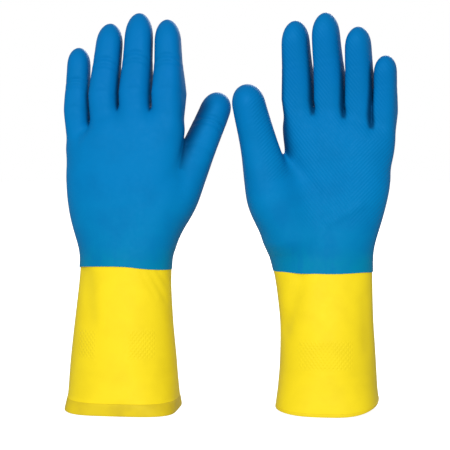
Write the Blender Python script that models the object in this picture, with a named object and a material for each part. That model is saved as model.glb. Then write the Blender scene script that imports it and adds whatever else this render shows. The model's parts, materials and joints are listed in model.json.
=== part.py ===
"""Pair of long rubber safety gloves that stand side by side on their open cuffs, fingers up.

Both gloves are left-hand ones. The left one turns its back to the front (-Y), the right one its palm.
Each glove is a blue dipped layer over a yellow one on the hand, and a yellow flared cuff with its own
lining and hem. The hand folds on the cuff at the wrist, and each finger stall and the thumb stall fold
at the knuckle and at the middle joint. Every fold has a V-shaped clearance between its two pieces.

A glove is drawn in its own frame: X towards the thumb, Y towards the palm, Z towards the fingertips,
with the origin at the middle of the hem. Lengths in the tables are millimetres.
"""

import math
from collections import namedtuple

import bmesh
import bpy
from mathutils import Matrix, Vector

MM = 0.001

# Stations along a digit.
KNUCKLE, MIDDLE, TIP = 0, 1, 2

# Walls and gaps.
DIP_WALL = 0.5
LINER_WALL = 0.4
LAYER_GAP = 0.3
HEM_WALL = 1.6  # the turned hem is thicker than the sleeve
FOLD_GAP = 0.6  # between the two pieces of a fold, along the digit
LINING_START = 16.0  # the cuff's lining stops this high above the floor

# Proportions of a finger stall.
FINGER_DEPTH_SHARE = 0.92  # depth over width
DOME_SHARE = 0.62  # length of the rounded tip over the width

# Folds in degrees: backwards from straight, then towards the palm.
WRIST_LIMITS = (-35, 35)
KNUCKLE_LIMITS = (-12, 70)
MIDDLE_LIMITS = (-8, 80)
THUMB_KNUCKLE_LIMITS = (-8, 35)
THUMB_MIDDLE_LIMITS = (-8, 55)
THUMB_INWARD = 10  # the thumb folds this much across the palm

# Facets and section shapes. A power of 2 is an ellipse, and more is squarer.
DIGIT_SIDES = 12
HAND_SIDES = 20
DOME_ANGLES = (0, 45)
TIP_FLAT_SHARE = 0.25  # the small flat at the very end of a tip, over the width
DIGIT_POWER = 2.1
HAND_POWER = 2.4
CUFF_POWER = 2.1

SHARP_ANGLE = 40
CUTTER_REACH = 160.0  # how far a fold's cutter runs past the glove

BLUE = (0.0, 0.225, 0.53)
YELLOW = (1.0, 0.78, 0.017)
DARK_YELLOW = (0.84, 0.63, 0.02)
CREAM = (0.86, 0.76, 0.42)

# A level of the hand or cuff: its height, its two side edges in X, and its depth in Y.
Level = namedtuple("Level", "z low high depth")
# A digit's centreline runs through its places, the last three of which are its knuckle, middle joint and tip.
# widths are its full widths at those places.
Digit = namedtuple("Digit", "name places widths depth_share limits inward")
Glove = namedtuple("Glove", "name place turn wrist hem_height cuff hand crown digits")
Crown = namedtuple("Crown", "z slope depth")
Fold = namedtuple("Fold", "pivot along axis palm limits")


def finger(name, root, knuckle, middle, tip, widths):
    limits = (KNUCKLE_LIMITS, MIDDLE_LIMITS)
    return Digit(name, (root, knuckle, middle, tip), widths, FINGER_DEPTH_SHARE, limits, 0)


def thumb(root, heel, knuckle, middle, tip, widths, depth_share):
    limits = (THUMB_KNUCKLE_LIMITS, THUMB_MIDDLE_LIMITS)
    return Digit("thumb", (root, heel, knuckle, middle, tip), widths, depth_share, limits, THUMB_INWARD)


LEFT_CUFF = (
    Level(0, -46.2, 46.4, 74),
    Level(10, -45.2, 46.0, 72),
    Level(36, -42.4, 44.5, 66),
    Level(72, -38.2, 41.0, 57),
    Level(111, -34.0, 38.9, 47),
    Level(130, -35.6, 40.4, 42),
)
LEFT_HAND = (
    Level(92, -35.6, 39.2, 51),
    Level(111, -34.2, 39.0, 47),
    Level(134, -37.4, 41.6, 41),
    Level(160, -43.0, 46.4, 37),
    Level(190, -44.8, 48.8, 34),
    Level(218, -45.6, 49.4, 30),
)
LEFT_DIGITS = (
    finger(
        "index",
        root=(34, 0, 208),
        knuckle=(36.4, 0.5, 250),
        middle=(35.6, 3.5, 277.5),
        tip=(34.2, 9, 308),
        widths=(25, 24.4, 22.4, 20.4),
    ),
    finger(
        "middle",
        root=(10.6, 0, 208),
        knuckle=(9.8, 0.5, 249.5),
        middle=(11, 3.5, 279.5),
        tip=(11.6, 10, 313.4),
        widths=(24, 23.2, 22.4, 20.8),
    ),
    finger(
        "ring",
        root=(-12.5, 0, 206),
        knuckle=(-15, 0.5, 247.5),
        middle=(-13.8, 3.5, 275),
        tip=(-11.2, 9, 305.6),
        widths=(22.6, 22.2, 21, 19.8),
    ),
    finger(
        "little",
        root=(-34.5, 0, 196),
        knuckle=(-37.3, 0.5, 236),
        middle=(-37, 3, 259),
        tip=(-36.4, 7, 286.2),
        widths=(20.5, 17.8, 17.4, 16),
    ),
    thumb(
        root=(20, 3, 126),
        heel=(41, 7, 164),
        knuckle=(61.4, 11, 206.4),
        middle=(68.6, 14, 230.4),
        tip=(75.6, 17, 252),
        widths=(28, 36, 25.6, 23.8, 21.4),
        depth_share=1.0,
    ),
)
RIGHT_CUFF = (
    Level(0, -41.0, 40.8, 82),
    Level(3, -41.0, 40.6, 82),
    Level(34, -39.4, 38.4, 74),
    Level(70, -36.6, 38.0, 62),
    Level(106, -35.8, 42.2, 47),
    Level(126, -36.6, 46.8, 42),
)
RIGHT_HAND = (
    Level(88, -35.9, 40.2, 53),
    Level(106, -35.8, 42.2, 47),
    Level(130, -37.6, 44.0, 41),
    Level(158, -44.6, 41.0, 37),
    Level(190, -51.8, 36.4, 33),
    Level(218, -53.8, 35.2, 30),
)
RIGHT_DIGITS = (
    finger(
        "index",
        root=(22.5, 0, 206),
        knuckle=(23.8, 0.5, 247),
        middle=(24.2, 3.5, 275),
        tip=(25.2, 9, 307),
        widths=(24, 22.6, 22, 19.8),
    ),
    finger(
        "middle",
        root=(0, 0, 206),
        knuckle=(-1.8, 0.5, 247),
        middle=(-1.2, 3.5, 278),
        tip=(0.2, 10, 313.4),
        widths=(22.8, 22.2, 22, 20.6),
    ),
    finger(
        "ring",
        root=(-21, 0, 204),
        knuckle=(-25.6, 0.5, 243),
        middle=(-26, 3.5, 272),
        tip=(-25.2, 9, 302.4),
        widths=(22, 20.6, 20.2, 19.4),
    ),
    finger(
        "little",
        root=(-41, 0, 194),
        knuckle=(-46.6, 0.5, 235),
        middle=(-47.2, 3, 257),
        tip=(-47.6, 7, 279.8),
        widths=(22, 18.2, 17.6, 16.2),
    ),
    thumb(
        root=(20, 4, 124),
        heel=(43, 9, 165),
        knuckle=(54.2, 12, 207),
        middle=(58, 15, 231),
        tip=(63.2, 18, 258),
        widths=(30, 42, 29.4, 28.4, 25.0),
        depth_share=0.86,
    ),
)
GLOVES = (
    Glove(
        name="left",
        place=(-86.1, 0.0),
        turn=-8,
        wrist=111.0,
        hem_height=10.0,
        cuff=LEFT_CUFF,
        hand=LEFT_HAND,
        crown=Crown(230, 0.13, 24),
        digits=LEFT_DIGITS,
    ),
    Glove(
        name="right",
        place=(77.3, 0.0),
        turn=172,
        wrist=106.0,
        hem_height=3.0,
        cuff=RIGHT_CUFF,
        hand=RIGHT_HAND,
        crown=Crown(227, 0.12, 24),
        digits=RIGHT_DIGITS,
    ),
)


# Sections and lofts.


def superellipse(sides, half_width, half_depth, power):
    """Points of a closed loop round the origin, as (x, y). sides is a multiple of 4.

    The loop has a flat facet at each of its four ends, exactly at the half width or half depth.
    """
    widest = math.cos(math.pi / sides)
    loop = []
    for k in range(sides):
        angle = 2 * math.pi * (k + 0.5) / sides
        c, s = math.cos(angle), math.sin(angle)
        x = half_width * math.copysign(abs(c / widest) ** (2 / power), c)
        y = half_depth * math.copysign(abs(s / widest) ** (2 / power), s)
        loop.append((x, y))
    return loop


def loft(rings):
    """A closed solid through rings of equal point counts, capped at both ends.

    Each side is two triangles that lean the same way, so that nested layers keep their gap.
    """
    bm = bmesh.new()
    loops = [[bm.verts.new(Vector(point) * MM) for point in ring] for ring in rings]
    for lower, upper in zip(loops, loops[1:]):
        for k, point in enumerate(lower):
            after = (k + 1) % len(lower)
            bm.faces.new((point, lower[after], upper[after]))
            bm.faces.new((point, upper[after], upper[k]))
    bm.faces.new(reversed(loops[0]))
    bm.faces.new(loops[-1])
    bmesh.ops.recalc_face_normals(bm, faces=bm.faces)
    mesh = bpy.data.meshes.new("loft")
    bm.to_mesh(mesh)
    bm.free()
    return mesh


def level_ring(level, inset, power):
    middle = (level.low + level.high) / 2
    half_width = (level.high - level.low) / 2 - inset
    loop = superellipse(HAND_SIDES, half_width, level.depth / 2 - inset, power)
    return [(middle + x, y, level.z) for x, y in loop]


def level_at(levels, z):
    """The level at any height, on the straight line between the stated ones."""
    k = max(i for i, level in enumerate(levels[:-1]) if level.z <= max(z, levels[0].z))
    below, above = levels[k], levels[k + 1]
    share = (z - below.z) / (above.z - below.z)
    return Level(*(a + (b - a) * share for a, b in zip(below, above)))


def levels_between(levels, bottom, top):
    inside = [level for level in levels if bottom < level.z < top]
    return [level_at(levels, bottom), *inside, level_at(levels, top)]


def crown_rings(glove, inset):
    """The hand's closed top between the knuckles: narrower, and lower on the little finger's side."""
    top, crown = glove.hand[-1], glove.crown
    middle = (top.low + top.high) / 2
    rings = []
    for rise, share in ((0.5, 0.97), (1.0, 0.86)):
        half_width = (top.high - top.low) / 2 * share - inset
        half_depth = (top.depth + (crown.depth - top.depth) * rise) / 2 * share - inset
        z = top.z + (crown.z - inset - top.z) * rise
        loop = superellipse(HAND_SIDES, half_width, half_depth, HAND_POWER)
        rings.append([(middle + x, y, z + crown.slope * rise * x) for x, y in loop])
    return rings


# Finger and thumb stalls. The number t runs along a digit: KNUCKLE, MIDDLE, TIP, and below 0 in the hand.


def curve_point(digit, t):
    """A point on the Catmull-Rom curve through the digit's places."""
    points = [Vector(place) for place in digit.places]
    last = len(points) - 1
    along = t + last - TIP
    i = min(int(along), last - 1)
    u = along - i
    b, c = points[i], points[i + 1]
    a = points[i - 1] if i > 0 else b * 2 - c
    d = points[i + 2] if i + 1 < last else c * 2 - b
    bends = (2 * b, (c - a) * u, (2 * a - 5 * b + 4 * c - d) * u**2, (3 * b - a - 3 * c + d) * u**3)
    return sum(bends, Vector()) / 2


def digit_frame(digit, t):
    """The place on the centreline, and the unit directions along it, to its side and to its palm side."""
    step = 0.02
    ahead, behind = curve_point(digit, min(t + step, TIP)), curve_point(digit, max(t - step, root_of(digit)))
    along = (ahead - behind).normalized()
    palm = Matrix.Rotation(math.radians(digit.inward), 3, "Z") @ Vector((0, 1, 0))
    side = palm.cross(along).normalized()
    return curve_point(digit, t), along, side, along.cross(side)


def root_of(digit):
    return TIP + 1 - len(digit.places)


def digit_width(digit, t):
    along = t - root_of(digit)
    i = min(int(along), len(digit.widths) - 2)
    return digit.widths[i] + (digit.widths[i + 1] - digit.widths[i]) * (along - i)


def digit_solid(digit, inset):
    """The whole stall from inside the hand to its rounded tip, made smaller all round by inset."""
    length = (Vector(digit.places[-1]) - Vector(digit.places[-2])).length
    dome = DOME_SHARE * digit.widths[-1]
    dome_start = TIP - dome / length
    stations = [(t, 1.0) for t in range(root_of(digit), MIDDLE + 1)]
    for angle in map(math.radians, DOME_ANGLES):
        stations.append((dome_start + math.sin(angle) * (dome - inset) / length, math.cos(angle)))
    stations.append((dome_start + (dome - inset) / length, TIP_FLAT_SHARE))
    rings = []
    for t, share in stations:
        place, _, side, palm = digit_frame(digit, t)
        half_width = digit_width(digit, min(t, dome_start)) / 2
        half_depth = half_width * digit.depth_share
        half_sizes = ((half_width - inset) * share, (half_depth - inset) * share)
        loop = superellipse(DIGIT_SIDES, *half_sizes, DIGIT_POWER)
        rings.append([place + side * x + palm * y for x, y in loop])
    return loft(rings)


# Folds.


def digit_fold(digit, t):
    place, along, side, palm = digit_frame(digit, t)
    return Fold(place, along, -side, palm, digit.limits[t])


def wrist_fold(glove):
    level = level_at(glove.cuff, glove.wrist)
    pivot = Vector(((level.low + level.high) / 2, 0, glove.wrist))
    return Fold(pivot, Vector((0, 0, 1)), Vector((-1, 0, 0)), Vector((0, 1, 0)), WRIST_LIMITS)


def fold_cutter(fold, keep):
    """The prism that removes one side of a fold: keep is 1 to keep the far side, -1 the near one.

    The edge it leaves is a V with its point on the pivot, so that the pieces can swing to the limits.
    """
    back, forward = (math.tan(math.radians(abs(limit) / 2)) * CUTTER_REACH for limit in fold.limits)
    near, reach = FOLD_GAP / 2, CUTTER_REACH
    front = (near + forward, reach)
    rear = (near + back, -reach)
    outline = ((near, 0), front, (-reach, reach), (-reach, -reach), rear)
    rings = []
    for end in (-reach, reach):
        middle = fold.pivot + fold.axis * end
        rings.append([middle + fold.along * keep * a + fold.palm * b for a, b in outline])
    return loft(rings)


# The layers of each piece.


def combined(mesh, steps):
    """The mesh after Boolean steps, each an operation and a mesh."""
    target = bpy.data.objects.new("target", mesh)
    bpy.context.scene.collection.objects.link(target)
    helpers = []
    for operation, tool in steps:
        helper = bpy.data.objects.new("tool", tool)
        bpy.context.scene.collection.objects.link(helper)
        helpers.append(helper)
        step = target.modifiers.new("step", "BOOLEAN")
        step.solver = "EXACT"
        step.operation = operation
        step.object = helper
    graph = bpy.context.evaluated_depsgraph_get()
    result = bpy.data.meshes.new_from_object(target.evaluated_get(graph))
    for used in (target, *helpers):
        bpy.data.objects.remove(used)
    return result


def without(mesh, *tools):
    return combined(mesh, [("DIFFERENCE", tool) for tool in tools])


def hand_layer(glove, outer, inner):
    """One layer of the hand, with the roots of the five stalls up to their knuckles."""
    roots = []
    for digit in glove.digits:
        roots.append(without(digit_solid(digit, outer), fold_cutter(digit_fold(digit, KNUCKLE), -1)))
    whole = combined(loft(hand_rings(glove, outer)), [("UNION", root) for root in roots])
    hollows = [digit_solid(digit, inner) for digit in glove.digits]
    return without(whole, loft(hand_rings(glove, inner)), *hollows, fold_cutter(wrist_fold(glove), 1))


def hand_rings(glove, inset):
    return [level_ring(level, inset, HAND_POWER) for level in glove.hand] + crown_rings(glove, inset)


def base_layer(digit, outer, inner):
    """One layer of a stall from the knuckle to the middle joint."""
    cutters = (fold_cutter(digit_fold(digit, KNUCKLE), 1), fold_cutter(digit_fold(digit, MIDDLE), -1))
    return without(digit_solid(digit, outer), digit_solid(digit, inner), *cutters)


def tip_layer(digit, outer, inner):
    """One layer of a stall past the middle joint."""
    cutter = fold_cutter(digit_fold(digit, MIDDLE), 1)
    return without(digit_solid(digit, outer), digit_solid(digit, inner), cutter)


def cuff_ring(glove, outer, inner, bottom, top):
    """A plain ring of the cuff between two heights."""
    below = -1.0
    outside = [level_ring(level, outer, CUFF_POWER) for level in levels_between(glove.cuff, bottom, top)]
    inside = [level_ring(level_at(glove.cuff, bottom + below), inner, CUFF_POWER)]
    for level in levels_between(glove.cuff, bottom, top)[1:-1]:
        inside.append(level_ring(level, inner, CUFF_POWER))
    inside.append(level_ring(level_at(glove.cuff, top - below), inner, CUFF_POWER))
    return without(loft(outside), loft(inside))


def sleeve_layer(glove, outer, inner, bottom):
    """One layer of the cuff from a height up to the wrist."""
    top = glove.cuff[-1].z - 1
    return without(cuff_ring(glove, outer, inner, bottom, top), fold_cutter(wrist_fold(glove), -1))


# Objects.


def clear_scene():
    for old in list(bpy.data.objects):
        bpy.data.objects.remove(old)


def plain_material(name, colour, roughness):
    material = bpy.data.materials.new(name)
    material.use_nodes = True
    shader = material.node_tree.nodes["Principled BSDF"]
    shader.inputs["Base Color"].default_value = (*colour, 1)
    shader.inputs["Roughness"].default_value = roughness
    shader.inputs["Metallic"].default_value = 0
    return material


def add_pivot(collection, name, place, parent=None, parent_place=Vector()):
    """An empty at a place in the glove's frame; its parent's own place there is parent_place."""
    pivot = bpy.data.objects.new(name, None)
    pivot.empty_display_size = 0.01
    pivot.location = (place - parent_place) * MM
    pivot.parent = parent
    collection.objects.link(pivot)
    return pivot


def add_piece(collection, name, mesh, material, pivot, place):
    """A piece that hangs on its pivot, whose place in the glove's frame becomes the piece's origin."""
    mesh.name = name
    mesh.materials.clear()
    mesh.materials.append(material)
    mesh.transform(Matrix.Translation(-place * MM))
    mesh.shade_smooth()
    mesh.set_sharp_from_angle(angle=math.radians(SHARP_ANGLE))
    piece = bpy.data.objects.new(name, mesh)
    piece.parent = pivot
    collection.objects.link(piece)


def build_cuff(glove, collection, base):
    yellow = plain_material(f"{glove.name}_cuff_rubber", YELLOW, 0.5)
    dark_yellow = plain_material(f"{glove.name}_hem_rubber", DARK_YELLOW, 0.5)
    cream = plain_material(f"{glove.name}_cuff_flock", CREAM, 0.95)
    outer = DIP_WALL + LAYER_GAP
    sleeve = sleeve_layer(glove, 0, DIP_WALL, glove.hem_height)
    lining = sleeve_layer(glove, outer, outer + LINER_WALL, LINING_START)
    hem = cuff_ring(glove, 0, HEM_WALL, 0, glove.hem_height - LAYER_GAP)
    add_piece(collection, f"{glove.name}_cuff_sleeve", sleeve, yellow, base, Vector())
    add_piece(collection, f"{glove.name}_cuff_hem", hem, dark_yellow, base, Vector())
    add_piece(collection, f"{glove.name}_cuff_lining", lining, cream, base, Vector())


def add_layers(collection, name, layer, shape, pivot, place):
    """The blue dip and the yellow liner of one piece. layer makes either from its outer and inner inset."""
    outer = DIP_WALL + LAYER_GAP
    blue = plain_material(f"{name}_dip_rubber", BLUE, 0.42)
    yellow = plain_material(f"{name}_liner_rubber", YELLOW, 0.6)
    add_piece(collection, f"{name}_dip", layer(shape, 0, DIP_WALL), blue, pivot, place)
    add_piece(collection, f"{name}_liner", layer(shape, outer, outer + LINER_WALL), yellow, pivot, place)


def build_digit(glove, digit, collection, hand, wrist):
    name = f"{glove.name}_{digit.name}"
    knuckle, middle = Vector(digit.places[-3]), Vector(digit.places[-2])
    base = add_pivot(collection, f"{name}_knuckle_pivot", knuckle, hand, wrist)
    tip = add_pivot(collection, f"{name}_middle_pivot", middle, base, knuckle)
    add_layers(collection, f"{name}_base", base_layer, digit, base, knuckle)
    add_layers(collection, f"{name}_tip", tip_layer, digit, tip, middle)


def build_glove(glove, collection):
    base = add_pivot(collection, f"{glove.name}_glove", Vector((*glove.place, 0)))
    base.rotation_euler.z = math.radians(glove.turn)
    wrist = wrist_fold(glove).pivot
    hand = add_pivot(collection, f"{glove.name}_wrist_pivot", wrist, base)
    build_cuff(glove, collection, base)
    add_layers(collection, f"{glove.name}_hand", hand_layer, glove, hand, wrist)
    for digit in glove.digits:
        build_digit(glove, digit, collection, hand, wrist)


def main():
    clear_scene()
    collection = bpy.data.collections.new("rubber_glove_pair")
    bpy.context.scene.collection.children.link(collection)
    for glove in GLOVES:
        build_glove(glove, collection)


main()
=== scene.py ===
"""Looks of a pair of long rubber gloves: a blue dip over yellow latex, fingers up, standing on the cuffs.

Each glove is one smooth surface, found as the zero level of a distance field that joins the cuff, the hand
and the five stalls, whose sizes are measured on the CAD frame. That surface is cut into a piece for each of
the frame's nodes, and each piece gets a real wall. A glove is modelled in its own coordinates, in
millimetres: X towards the thumb, Y towards the palm, Z up, with the origin at the middle of the hem.
"""

import json
import math
from collections import namedtuple

import bmesh
import bpy
import numpy as np
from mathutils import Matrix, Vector


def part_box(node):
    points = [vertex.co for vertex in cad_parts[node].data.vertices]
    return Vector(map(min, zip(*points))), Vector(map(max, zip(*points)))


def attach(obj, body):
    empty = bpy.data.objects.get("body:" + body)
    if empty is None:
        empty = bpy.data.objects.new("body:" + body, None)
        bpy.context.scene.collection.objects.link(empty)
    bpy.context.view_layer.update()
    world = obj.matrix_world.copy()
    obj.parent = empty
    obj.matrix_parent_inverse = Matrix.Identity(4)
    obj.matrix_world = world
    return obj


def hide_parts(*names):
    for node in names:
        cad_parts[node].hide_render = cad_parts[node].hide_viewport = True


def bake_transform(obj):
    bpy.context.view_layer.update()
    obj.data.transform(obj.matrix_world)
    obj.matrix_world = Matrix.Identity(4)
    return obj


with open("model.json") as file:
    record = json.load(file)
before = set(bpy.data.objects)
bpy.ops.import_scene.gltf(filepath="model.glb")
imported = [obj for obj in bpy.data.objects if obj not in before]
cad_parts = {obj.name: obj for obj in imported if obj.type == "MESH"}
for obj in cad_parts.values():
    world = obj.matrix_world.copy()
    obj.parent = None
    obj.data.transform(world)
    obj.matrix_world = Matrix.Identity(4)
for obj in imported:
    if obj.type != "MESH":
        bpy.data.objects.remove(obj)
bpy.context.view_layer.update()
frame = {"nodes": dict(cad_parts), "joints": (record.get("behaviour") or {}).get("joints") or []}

MM = 0.001
JOINTS = {joint["name"]: joint for joint in frame["joints"]}

# Mesh sizes, in millimetres.
VOXEL = 1.2
CUFF_SIDES = 240
CUFF_ROW = 1.2

# Layers, in millimetres: how far each lies below the outer surface, and its wall.
DIP = (0.0, 0.55)
LINER = (0.95, 0.4)
SLEEVE = (0.6, 0.4)
LINING = (1.05, 0.4)
HEM_WALL = 1.6
DIP_OVERLAP = 9.0  # the yellow runs on this far under the blue
LINE_RISE = {"left": 1.2, "right": 4.4}  # the blue ends this far above the wrist's hinge
# The open rim stands on its front and back and rises at its two sides: the mean, and how much more it is on
# the thumb's side.
RIM_RAISE = {"left": (1.1, -0.9), "right": (4.2, -1.8)}
RIM_REACH = 45.0  # the rise has faded out this far above the rim
RIM_POWER = {"left": 4.2, "right": 3.0}  # how square the rim's corners are
# The hem's section: its number of points, and how square it is across and up.
HEM_POINTS = 28
HEM_SQUARENESS = (0.6, 0.45)

# Smooth joins, in millimetres of blend width.
FINGER_JOIN = 0.4
HAND_JOIN = 6.0
THUMB_JOIN = {"left": (9.0, 6.0), "right": (14.0, 2.5)}  # down in the hand, and at the crotch
THUMB_JOIN_HEIGHTS = (178, 206)

# Seams and bends along a digit, as shares of the distance from its knuckle to its middle joint.
ROOT_SEAM = -0.26
KNUCKLE_BEND_END = 0.54
MIDDLE_SEAM = 0.57
MIDDLE_BEND_END = 1.46

DIGITS = ("index", "middle", "ring", "little", "thumb")
# Inside the hand node the thumb can't be measured, so its heel and root are stated: place and half width.
THUMB_ROOTS = {
    "left": (((20, 3, 126), 15.5), ((41, 7, 164), 18.4)),
    "right": (((26, 4, 127), 19.8), ((43, 9, 165), 21.5)),
}
# How the soft stalls differ from the frame's, each at the knuckle and at the tip: moved towards the thumb,
# widened all round, and turned, so that the palm side leans towards the thumb by this share of the depth.
Fit = namedtuple("Fit", "shift swell turn")
STALL_FIT = {
    "left": {
        "index": Fit((1.7, 1.0), (0.0, -1.2), (0.26, 0.0)),
        "middle": Fit((1.9, 1.6), (0.6, -0.3), (0.24, 0.02)),
        "ring": Fit((1.4, 2.8), (0.2, -0.2), (0.24, 0.02)),
        "little": Fit((1.5, 1.9), (0.5, -0.4), (0.28, 0.08)),
        "thumb": Fit((-1.6, 4.0), (0.4, 0.3), (-0.1, -0.15)),
    },
    "right": {
        "index": Fit((-0.8, 1.9), (0.6, -1.3), (0.38, 0.26)),
        "middle": Fit((-0.3, 4.0), (0.2, -1.1), (0.38, 0.26)),
        "ring": Fit((0.6, 3.7), (0.1, -1.1), (0.34, 0.26)),
        "little": Fit((2.0, 3.5), (-0.2, -0.4), (0.34, 0.2)),
        "thumb": Fit((-1.3, 3.1), (0.0, -1.0), (0.0, 0.0)),
    },
}
THUMB_TO_PALM = {"left": 5.0, "right": 0.0}  # the soft thumb lies this much further to the palm side
# How the soft hand's two edges differ from the frame's: height, and the change at each edge.
BODY_FIT = {
    "left": ((5, 2.4, -0.9), (124, 2.2, 0.3), (208, 2.2, 0.0), (236, 0.0, 0.5)),
    "right": ((126, 1.4, 3.4), (200, 3.4, -1.8), (222, 3.0, 0.0)),
}
FIT_SPREAD = 12.0  # each of these changes fades out up and down, as a bell curve of this width
# The hand's closed top between the stalls: its height in the middle, its slope, and its drop outwards.
CROWNS = {"left": (237.0, 0.235, -0.0098), "right": (235.3, 0.16, -0.0036)}
CROWN_REACH = 32.0  # the slope and drop stop this far from the middle
CROWN_ROUND = 17.0
CROWN_DEPTH = 22.0
# A digit's root, which runs on below its knuckle into the hand.
ROOT_LENGTH = 44.0
ROOT_LEAN = 0.05  # the roots draw together by this share of their distance from the middle
LITTLE_ROOT_WIDTH = 0.95  # over its width at the knuckle; the other fingers keep theirs
ROOT_ROUND = 24.0  # how long its rounded end is
THUMB_ROOT_ROUND = 12.0
TIP_LENGTHS = {"index": 1.05, "middle": 1.08, "ring": 1.0, "little": 0.95, "thumb": 0.64}  # over the width
TIP_CAP = 1.2  # a stall's tip is the middle of the points this close to its farthest
PALM_FULLNESS = 0.03  # a finger is this much wider on its palm side than at its middle
# How square a section is: 2 is an ellipse.
FINGER_POWER = 3.3
THUMB_POWER = 2.6
# Measured curves are smoothed over this many steps of this height.
BODY_STEP = 2.0
BODY_SMOOTHING = 4
DIGIT_STEP = 1.0
DIGIT_SMOOTHING = 8
# Where the hand and cuff are measured.
WRIST_NOTCH = 9.0  # the frame's pieces are cut back at the hinge, so nothing is measured this close to it
ROOTS_HEIGHT = 34.0  # the stalls' roots spoil the outline this far below the hand node's top
NEAR_DIGIT = 1.16  # a point belongs to a digit when its gauge is less than this

# Creases across a stall: place as a share of the way from knuckle to middle joint, depth and width.
CREASES = ((0.12, 0.35, 1.2), (0.86, 0.75, 1.0), (1.06, 0.9, 1.1))
CREASE_BOW = 3.5  # how far a crease's ends lie below its middle, 10 mm out
CREASE_ON_PALM = 0.1  # its depth on the palm side over that on the back
# The palm's hollow: its middle in X and above the blue's lower edge, its half sizes, and its depth.
PALM_HOLLOW = ((-4, 62), (20, 26), 1.6)
# Soft lines on the hand and cuffs: side, two ends in X and Z, height, half width.
HAND_MARKS = (
    (1, (-2, 150), (-26, 163), 0.6, 2.6),
    (1, (24, 196), (6, 172), -0.5, 3.0),
)
CUFF_MARKS = {
    "left": (
        (-1, (-28, 112), (-23, 76), -1.8, 6.0),
        (-1, (-15, 104), (-12, 72), 0.5, 5.0),
        (-1, (24, 116), (38, 88), -0.6, 1.5),
        (-1, (30, 115), (40, 98), -0.6, 1.4),
        (-1, (18, 115), (30, 92), -0.35, 1.5),
        (1, (-20, 108), (-26, 60), -0.9, 3.4),
        (1, (22, 106), (16, 70), 0.7, 3.6),
    ),
    "right": (
        (1, (21, 106), (33, 66), -1.7, 4.4),
        (1, (8, 100), (22, 66), 0.5, 6.0),
        (1, (-30, 90), (-33, 50), -0.6, 3.0),
        (-1, (-22, 104), (-28, 60), -0.9, 3.4),
        (-1, (20, 104), (27, 80), -0.6, 2.0),
    ),
}
# Faint crosshatch patches on the cuffs: side, X range, Z range.
KNURL_PATCHES = {
    "left": ((-1, -30, -18, 46, 64), (-1, 13, 29, 46, 64), (1, -20, 22, 40, 58)),
    "right": ((1, -20, 19, 38, 56), (-1, -28, -12, 46, 64), (-1, 12, 28, 46, 64)),
}
# Painted shade between the stalls, where the blue is painted darker: how far from the next stall it is full
# and has faded, and its strength.
SHADE_REACH = {"left": (1.0, 3.8), "right": (2.0, 5.0)}
SHADE_STRENGTH = {"left": 0.92, "right": 0.78}
# Painted shadow by the thumb: the share on the thumb's inner side, the rest being on the hand, and its reach
# on the hand.
THUMB_SHADOW = {"left": (0.95, 10.0), "right": (0.0, 42.0)}
# The blue's lower edge: its tilt, and its rise in the middle.
EDGE_SHAPE = {"left": (-0.01, 3.4), "right": (0.0, 0.3)}
GRIP_RISE = (30, 44)  # the ribs begin and are full this far above the blue's lower edge
RIB_PITCH = 2.3
KNURL_PITCH = 2.6

# Colours, as linear red, green and blue. A pair is the bright and the deep one.
BLUE = (0.0, 0.178, 0.45)
FINGER_BLUE = (0.0, 0.15, 0.42)
EDGE_BLUE = (0.0, 0.2, 0.4)
RIM_BLUE = (0.0, 0.21, 0.37)
DEEP_BLUE = (0.0, 0.148, 0.385)
# Near black: painted shade between the stalls and painted shadow by the thumb.
SHADE_BLUE = (0.0, 0.014, 0.065)
CUFF_YELLOWS = ((0.88, 0.68, 0.014), (0.83, 0.635, 0.013))
HEM_YELLOWS = {
    "left": ((0.72, 0.54, 0.014), (0.6, 0.44, 0.018)),
    "right": ((0.82, 0.62, 0.014), (0.76, 0.56, 0.016)),
}
LINER_YELLOWS = ((0.86, 0.66, 0.05), (0.7, 0.52, 0.04))
FLOCK_CREAMS = ((0.84, 0.76, 0.46), (0.7, 0.6, 0.32))

Glove = namedtuple("Glove", "name origin axes wrist line body digits")
Body = namedtuple("Body", "z low high depth power crown")
Digit = namedtuple(
    "Digit",
    "name knuckle along side palm s u v half_width half_depth"
    " dome_start dome reach power fullness turn root_round",
)
Skin = namedtuple("Skin", "points faces normals")


# Reading the frame.


def to_glove(glove_origin, axes, points):
    return (np.asarray(points, float) / MM - glove_origin) @ axes.T


def to_world(glove, points):
    return (np.asarray(points, float) @ glove.axes + glove.origin) * MM


def node_edges(origin, axes, *nodes):
    """The end points of every edge of these CAD nodes, in the glove's coordinates."""
    ends = []
    for name in nodes:
        mesh = frame["nodes"][name].data
        points = np.zeros(len(mesh.vertices) * 3)
        mesh.vertices.foreach_get("co", points)
        pairs = np.zeros(len(mesh.edges) * 2, int)
        mesh.edges.foreach_get("vertices", pairs)
        ends.append(to_glove(origin, axes, points.reshape(-1, 3))[pairs.reshape(-1, 2)])
    return np.concatenate(ends)


def cut(edges, place, along):
    """Where the edges cross the plane through place that faces along."""
    ahead = (edges - place) @ along
    crossing = ahead[:, 0] * ahead[:, 1] < 0
    share = ahead[crossing, 0] / (ahead[crossing, 0] - ahead[crossing, 1])
    return edges[crossing, 0] + (edges[crossing, 1] - edges[crossing, 0]) * share[:, None]


def smoothed(values, width):
    """A row of numbers smoothed with a Gaussian of that many steps; straight slopes run on past the ends."""
    reach = int(3 * width)
    kernel = np.exp(-0.5 * (np.arange(-reach, reach + 1) / width) ** 2)
    padded = np.pad(values, reach, mode="reflect", reflect_type="odd")
    return np.convolve(padded, kernel / kernel.sum(), mode="valid")


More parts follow.
